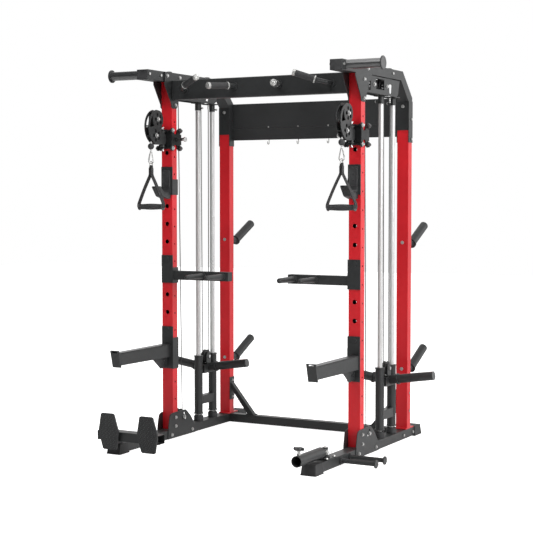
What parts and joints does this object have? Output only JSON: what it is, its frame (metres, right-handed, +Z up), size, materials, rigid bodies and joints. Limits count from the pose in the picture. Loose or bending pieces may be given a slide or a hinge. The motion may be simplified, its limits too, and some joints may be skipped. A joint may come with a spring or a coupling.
{
  "type": "power rack with cable columns",
  "caption": "Free-standing power rack with plate-loaded cable columns, swivelling pulley trolleys, pull-up grips, dip arms, spotter arms, bar hooks and plate storage.",
  "frame": {"origin": "on the floor, at the centre of the machine's bounding box", "axes": "+X to the right of a person facing the machine, +Y to the back, +Z up"},
  "size_m": [1.774, 1.6724, 2.122],
  "materials": {
    "red_powder_coat": "satin powder coat",
    "black_powder_coat": "fine textured powder coat",
    "hard_chrome": "polished",
    "bright_zinc": "bright zinc plate",
    "black_rubber": "moulded, fine texture",
    "pulley_nylon": "moulded nylon",
    "cable_sheath": "smooth sheath over steel rope",
    "strap_webbing": "woven webbing"
  },
  "bodies": {
    "frame": {"base_rails": "black_powder_coat", "front_columns": "red_powder_coat", "rear_columns": "red_powder_coat", "base_gusset_plates": "black_powder_coat", "top_side_tubes": "black_powder_coat", "top_gusset_plates": "black_powder_coat", "pull_up_crossbeam": "black_powder_coat", "pull_up_stubs": "black_powder_coat", "pull_up_grips": "black_rubber", "wide_grip_bars": "black_powder_coat", "header_panel": "black_powder_coat", "rear_upper_crossbar": "black_powder_coat", "accessory_hooks": "bright_zinc", "rear_lower_crossmember": "black_powder_coat", "corner_braces": "black_powder_coat", "rubber_feet": "black_rubber", "storage_posts": "black_powder_coat", "band_pegs": "black_powder_coat", "guide_rods": "hard_chrome", "rod_collars": "black_powder_coat", "rod_bumpers": "black_rubber", "pulley_axles": "bright_zinc", "frame_bolts": "bright_zinc", "column_cables": "cable_sheath", "lift_cables": "cable_sheath", "row_foot_plates": "black_powder_coat", "landmine_base": "black_powder_coat"},
    "carriage_right": {"weight_carriage_right": "black_powder_coat"},
    "carriage_pulley_right": {"carriage_pulley_right": "pulley_nylon"},
    "front_top_pulley_right": {"front_top_pulley_right": "pulley_nylon"},
    "rear_top_pulley_right": {"rear_top_pulley_right": "pulley_nylon"},
    "base_pulley_right": {"base_pulley_right": "pulley_nylon"},
    "trolley_right": {"trolley_right": "black_powder_coat"},
    "pop_pin_right": {"trolley_pop_pin_right": "bright_zinc"},
    "swivel_right": {"swivel_yoke_right": "black_powder_coat"},
    "upper_swivel_pulley_right": {"upper_swivel_pulley_right": "pulley_nylon"},
    "lower_swivel_pulley_right": {"lower_swivel_pulley_right": "pulley_nylon"},
    "cable_end_right": {"cable_end_right": "bright_zinc"},
    "pull_handle_right": {"pull_handle_right": "strap_webbing"},
    "bar_hook_right": {"bar_hook_right": "black_powder_coat"},
    "dip_arm_right": {"dip_arm_right": "black_powder_coat"},
    "spotter_arm_right": {"spotter_arm_right": "black_powder_coat"},
    "carriage_left": {"weight_carriage_left": "black_powder_coat"},
    "carriage_pulley_left": {"carriage_pulley_left": "pulley_nylon"},
    "front_top_pulley_left": {"front_top_pulley_left": "pulley_nylon"},
    "rear_top_pulley_left": {"rear_top_pulley_left": "pulley_nylon"},
    "base_pulley_left": {"base_pulley_left": "pulley_nylon"},
    "trolley_left": {"trolley_left": "black_powder_coat"},
    "pop_pin_left": {"trolley_pop_pin_left": "bright_zinc"},
    "swivel_left": {"swivel_yoke_left": "black_powder_coat"},
    "upper_swivel_pulley_left": {"upper_swivel_pulley_left": "pulley_nylon"},
    "lower_swivel_pulley_left": {"lower_swivel_pulley_left": "pulley_nylon"},
    "cable_end_left": {"cable_end_left": "bright_zinc"},
    "pull_handle_left": {"pull_handle_left": "strap_webbing"},
    "bar_hook_left": {"bar_hook_left": "black_powder_coat"},
    "dip_arm_left": {"dip_arm_left": "black_powder_coat"},
    "spotter_arm_left": {"spotter_arm_left": "black_powder_coat"},
    "landmine_yoke": {"landmine_yoke": "black_powder_coat"},
    "landmine_sleeve": {"landmine_sleeve": "black_powder_coat"},
    "landmine_knob": {"landmine_knob": "black_powder_coat"}
  },
  "joints": [
    {"name": "carriage_slide_right", "type": "slide", "parent": "frame", "child": "carriage_right", "axis": [0, 0, 1], "range_m": [0, 0.8], "deforming": ["lift_cables"]},
    {"name": "carriage_pulley_spin_right", "type": "hinge", "parent": "carriage_right", "child": "carriage_pulley_right", "pos_m": [0.5945, 0.26484, 0.437], "axis": [1, 0, 0], "continuous": true},
    {"name": "front_top_pulley_spin_right", "type": "hinge", "parent": "frame", "child": "front_top_pulley_right", "pos_m": [0.5945, 0.00184, 2.01], "axis": [1, 0, 0], "continuous": true},
    {"name": "rear_top_pulley_spin_right", "type": "hinge", "parent": "frame", "child": "rear_top_pulley_right", "pos_m": [0.5945, 0.17484, 2.01], "axis": [1, 0, 0], "continuous": true},
    {"name": "base_pulley_spin_right", "type": "hinge", "parent": "frame", "child": "base_pulley_right", "pos_m": [0.5945, -0.04316, 0.116], "axis": [1, 0, 0], "continuous": true},
    {"name": "trolley_slide_right", "type": "slide", "parent": "frame", "child": "trolley_right", "axis": [0, 0, 1], "range_m": [0, 0.1]},
    {"name": "pop_pin_slide_right", "type": "slide", "parent": "trolley_right", "child": "pop_pin_right", "axis": [1, 0, 0], "range_m": [0, 0.013]},
    {"name": "swivel_turn_right", "type": "hinge", "parent": "trolley_right", "child": "swivel_right", "pos_m": [0.5945, -0.20416, 1.7314], "axis": [0, 0, 1], "range_deg": [-60, 60]},
    {"name": "upper_swivel_pulley_spin_right", "type": "hinge", "parent": "swivel_right", "child": "upper_swivel_pulley_right", "pos_m": [0.5945, -0.27016, 1.841], "axis": [1, 0, 0], "continuous": true},
    {"name": "lower_swivel_pulley_spin_right", "type": "hinge", "parent": "swivel_right", "child": "lower_swivel_pulley_right", "pos_m": [0.5945, -0.28816, 1.749], "axis": [1, 0, 0], "continuous": true},
    {"name": "cable_pull_right", "type": "slide", "parent": "swivel_right", "child": "cable_end_right", "axis": [0, -0.8, -0.6], "range_m": [0, 1.6]},
    {"name": "handle_swing_right", "type": "hinge", "parent": "cable_end_right", "child": "pull_handle_right", "pos_m": [0.5945, -0.32466, 1.589], "axis": [-1, 0, 0], "range_deg": [0, 60]},
    {"name": "bar_hook_turn_right", "type": "hinge", "parent": "frame", "child": "bar_hook_right", "pos_m": [0.5945, -0.16016, 1.55302], "axis": [0, 1, 0], "range_deg": [0, 90]},
    {"name": "dip_arm_turn_right", "type": "hinge", "parent": "frame", "child": "dip_arm_right", "pos_m": [0.5945, -0.16016, 1.04332], "axis": [0, 1, 0], "range_deg": [0, 90]},
    {"name": "spotter_arm_turn_right", "type": "hinge", "parent": "frame", "child": "spotter_arm_right", "pos_m": [0.5945, -0.16016, 0.63556], "axis": [0, 1, 0], "range_deg": [0, 90]},
    {"name": "carriage_slide_left", "type": "slide", "parent": "frame", "child": "carriage_left", "axis": [0, 0, 1], "range_m": [0, 0.8], "deforming": ["lift_cables"]},
    {"name": "carriage_pulley_spin_left", "type": "hinge", "parent": "carriage_left", "child": "carriage_pulley_left", "pos_m": [-0.5945, 0.26484, 0.437], "axis": [1, 0, 0], "continuous": true},
    {"name": "front_top_pulley_spin_left", "type": "hinge", "parent": "frame", "child": "front_top_pulley_left", "pos_m": [-0.5945, 0.00184, 2.01], "axis": [1, 0, 0], "continuous": true},
    {"name": "rear_top_pulley_spin_left", "type": "hinge", "parent": "frame", "child": "rear_top_pulley_left", "pos_m": [-0.5945, 0.17484, 2.01], "axis": [1, 0, 0], "continuous": true},
    {"name": "base_pulley_spin_left", "type": "hinge", "parent": "frame", "child": "base_pulley_left", "pos_m": [-0.5945, -0.04316, 0.116], "axis": [1, 0, 0], "continuous": true},
    {"name": "trolley_slide_left", "type": "slide", "parent": "frame", "child": "trolley_left", "axis": [0, 0, 1], "range_m": [0, 0.1]},
    {"name": "pop_pin_slide_left", "type": "slide", "parent": "trolley_left", "child": "pop_pin_left", "axis": [-1, 0, 0], "range_m": [0, 0.013]},
    {"name": "swivel_turn_left", "type": "hinge", "parent": "trolley_left", "child": "swivel_left", "pos_m": [-0.5945, -0.20416, 1.7314], "axis": [0, 0, 1], "range_deg": [-60, 60]},
    {"name": "upper_swivel_pulley_spin_left", "type": "hinge", "parent": "swivel_left", "child": "upper_swivel_pulley_left", "pos_m": [-0.5945, -0.27016, 1.841], "axis": [1, 0, 0], "continuous": true},
    {"name": "lower_swivel_pulley_spin_left", "type": "hinge", "parent": "swivel_left", "child": "lower_swivel_pulley_left", "pos_m": [-0.5945, -0.28816, 1.749], "axis": [1, 0, 0], "continuous": true},
    {"name": "cable_pull_left", "type": "slide", "parent": "swivel_left", "child": "cable_end_left", "axis": [0, -0.8, -0.6], "range_m": [0, 1.6]},
    {"name": "handle_swing_left", "type": "hinge", "parent": "cable_end_left", "child": "pull_handle_left", "pos_m": [-0.5945, -0.32466, 1.589], "axis": [-1, 0, 0], "range_deg": [0, 60]},
    {"name": "bar_hook_turn_left", "type": "hinge", "parent": "frame", "child": "bar_hook_left", "pos_m": [-0.5945, -0.16016, 1.55302], "axis": [0, -1, 0], "range_deg": [0, 90]},
    {"name": "dip_arm_turn_left", "type": "hinge", "parent": "frame", "child": "dip_arm_left", "pos_m": [-0.5945, -0.16016, 1.04332], "axis": [0, -1, 0], "range_deg": [0, 90]},
    {"name": "spotter_arm_turn_left", "type": "hinge", "parent": "frame", "child": "spotter_arm_left", "pos_m": [-0.5945, -0.16016, 0.63556], "axis": [0, -1, 0], "range_deg": [0, 90]},
    {"name": "landmine_turn", "type": "hinge", "parent": "frame", "child": "landmine_yoke", "pos_m": [0.5945, -0.51216, 0.095], "axis": [0, 0, 1], "range_deg": [-60, 60]},
    {"name": "landmine_tilt", "type": "hinge", "parent": "landmine_yoke", "child": "landmine_sleeve", "pos_m": [0.5945, -0.54216, 0.095], "axis": [-1, 0, 0], "range_deg": [0, 80]},
    {"name": "landmine_knob_turn", "type": "hinge", "parent": "landmine_sleeve", "child": "landmine_knob", "pos_m": [0.5945, -0.80816, 0.095], "axis": [0, 0, 1], "continuous": true}
  ],
  "couplings": [
    {"joint": "carriage_pulley_spin_right", "follows": "carriage_slide_right", "rad_per_m": -27.778},
    {"joint": "front_top_pulley_spin_right", "follows": "carriage_slide_right", "rad_per_m": 49.261},
    {"joint": "rear_top_pulley_spin_right", "follows": "carriage_slide_right", "rad_per_m": 49.261},
    {"joint": "base_pulley_spin_right", "follows": "carriage_slide_right", "rad_per_m": -51.813},
    {"joint": "lower_swivel_pulley_spin_right", "follows": "carriage_slide_right", "rad_per_m": 55.556},
    {"joint": "cable_pull_right", "follows": "carriage_slide_right", "ratio": 2},
    {"joint": "carriage_pulley_spin_left", "follows": "carriage_slide_left", "rad_per_m": -27.778},
    {"joint": "front_top_pulley_spin_left", "follows": "carriage_slide_left", "rad_per_m": 49.261},
    {"joint": "rear_top_pulley_spin_left", "follows": "carriage_slide_left", "rad_per_m": 49.261},
    {"joint": "base_pulley_spin_left", "follows": "carriage_slide_left", "rad_per_m": -51.813},
    {"joint": "lower_swivel_pulley_spin_left", "follows": "carriage_slide_left", "rad_per_m": 55.556},
    {"joint": "cable_pull_left", "follows": "carriage_slide_left", "ratio": 2}
  ]
}
